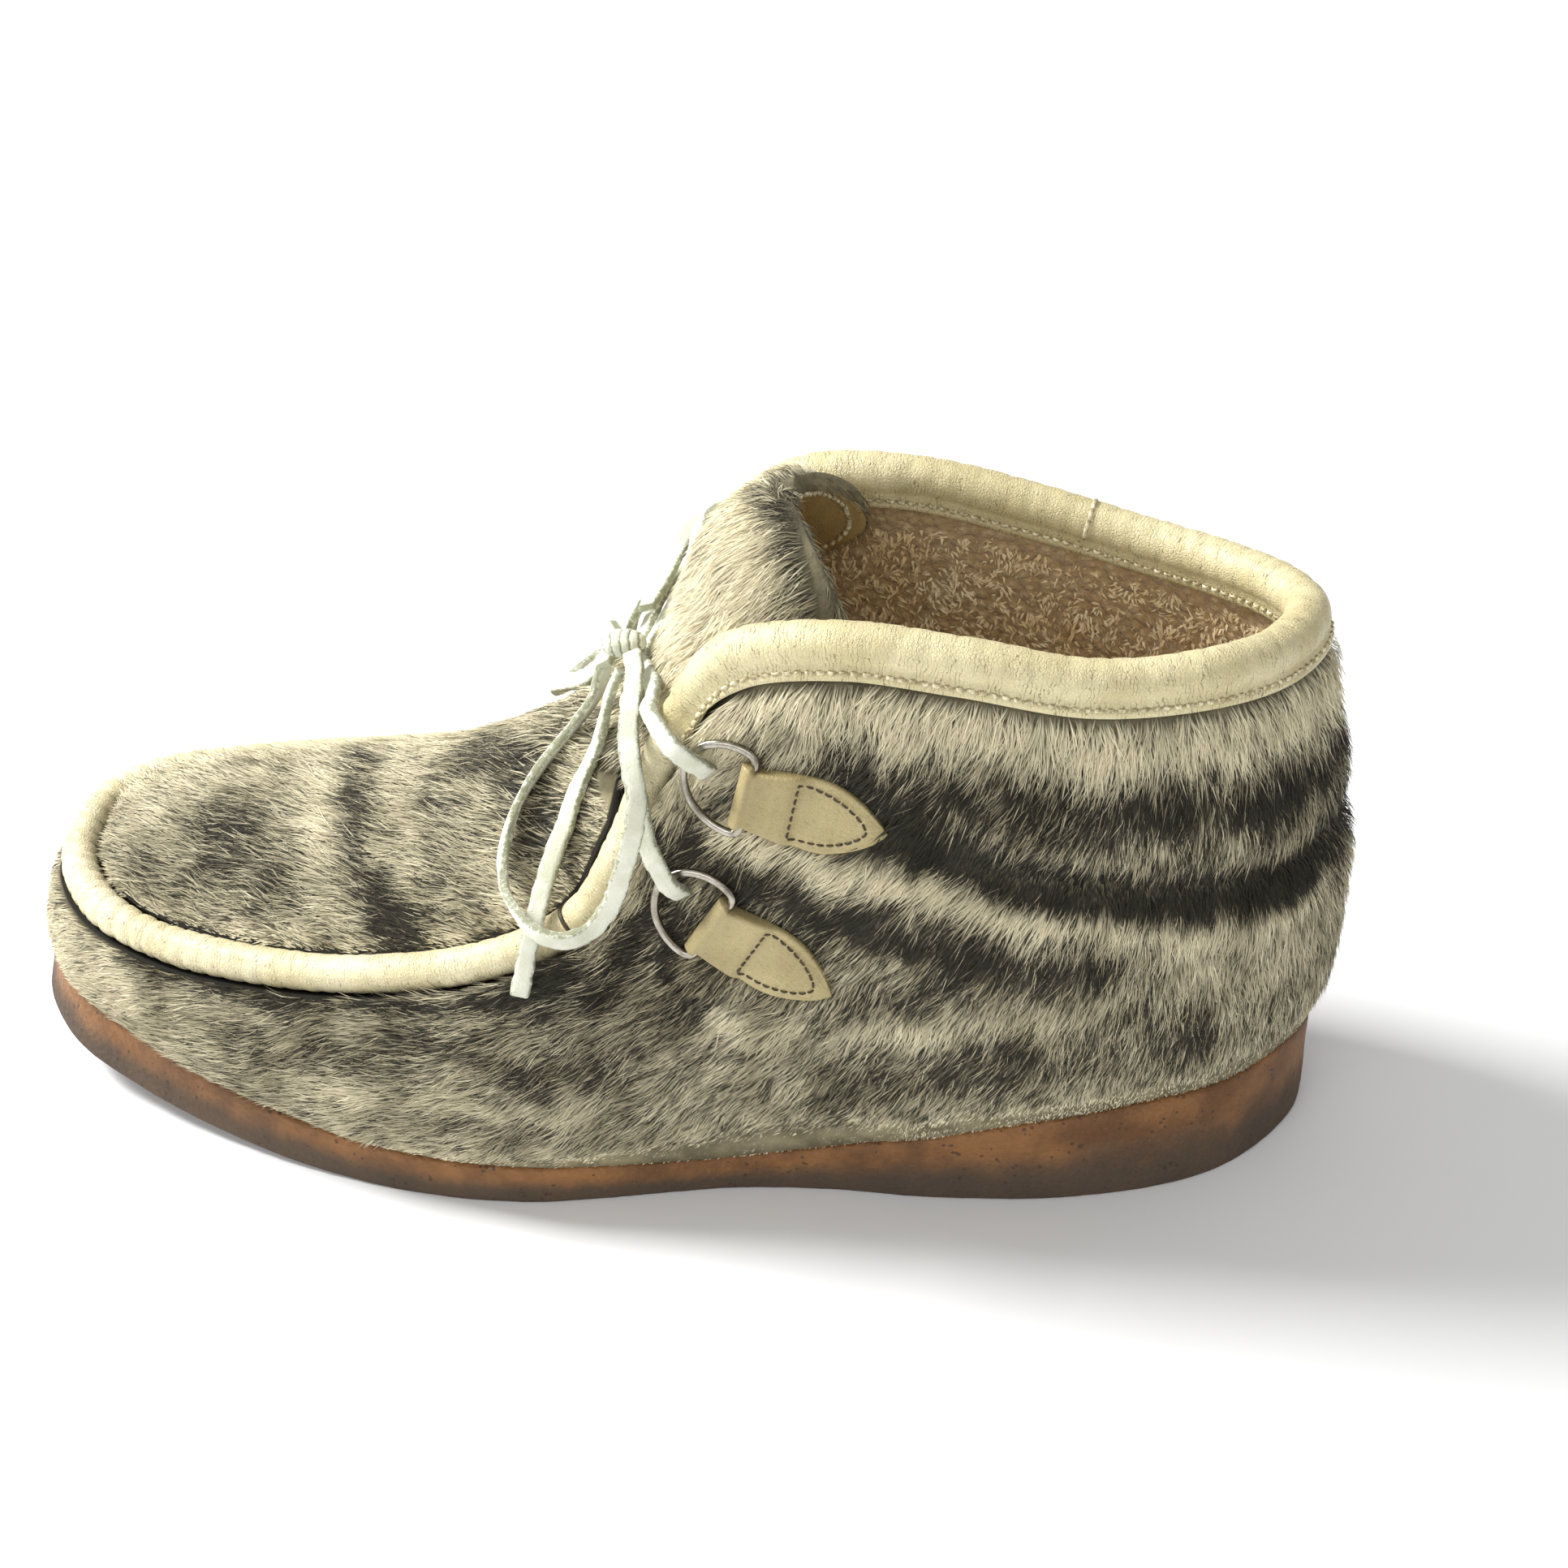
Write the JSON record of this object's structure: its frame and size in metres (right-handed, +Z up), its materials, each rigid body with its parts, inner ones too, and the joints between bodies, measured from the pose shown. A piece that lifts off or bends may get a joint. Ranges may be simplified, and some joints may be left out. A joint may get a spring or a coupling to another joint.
{
  "type": "fur moccasin boot",
  "caption": "Ankle-high moccasin boot of short fur with a wedge crepe sole, a raised apron in a padded roll, a bound collar and a lace tied through D rings.",
  "frame": {"origin": "centre of the bounding box at the floor", "axes": "+Z up, toe toward -X, heel toward +X, outer side of the foot toward -Y"},
  "size_m": [0.2976, 0.1146, 0.1531],
  "materials": {
    "outsole": "worn amber crepe rubber, dirty along the floor edge",
    "insole": "pressed shearling footbed",
    "upper": "short seal-like fur, mottled cream and charcoal, shearling lining",
    "apron": "short mottled fur",
    "tongue": "short mottled fur outside, tan leather inside",
    "apron_piping": "cream leather roll with fine cross cracks",
    "collar_binding": "cream leather roll with a stitched flange",
    "tab": "beige leather, dark stitches near the edge",
    "ring": "polished nickel wire",
    "lace": "flat cream-white suede with rough edges"
  },
  "bodies": {
    "root": {"outsole": "outsole", "insole": "insole", "upper": "upper", "apron": "apron", "tongue": "tongue", "apron_piping": "apron_piping", "collar_binding": "collar_binding", "tab_upper_outer": "tab", "ring_upper_outer": "ring", "tab_lower_outer": "tab", "ring_lower_outer": "ring", "tab_upper_inner": "tab", "ring_upper_inner": "ring", "tab_lower_inner": "tab", "ring_lower_inner": "ring", "lace_bars": "lace", "lace_knot": "lace", "lace_loop_outer": "lace", "lace_loop_inner": "lace", "lace_end_outer": "lace", "lace_end_inner": "lace"}
  },
  "joints": []
}
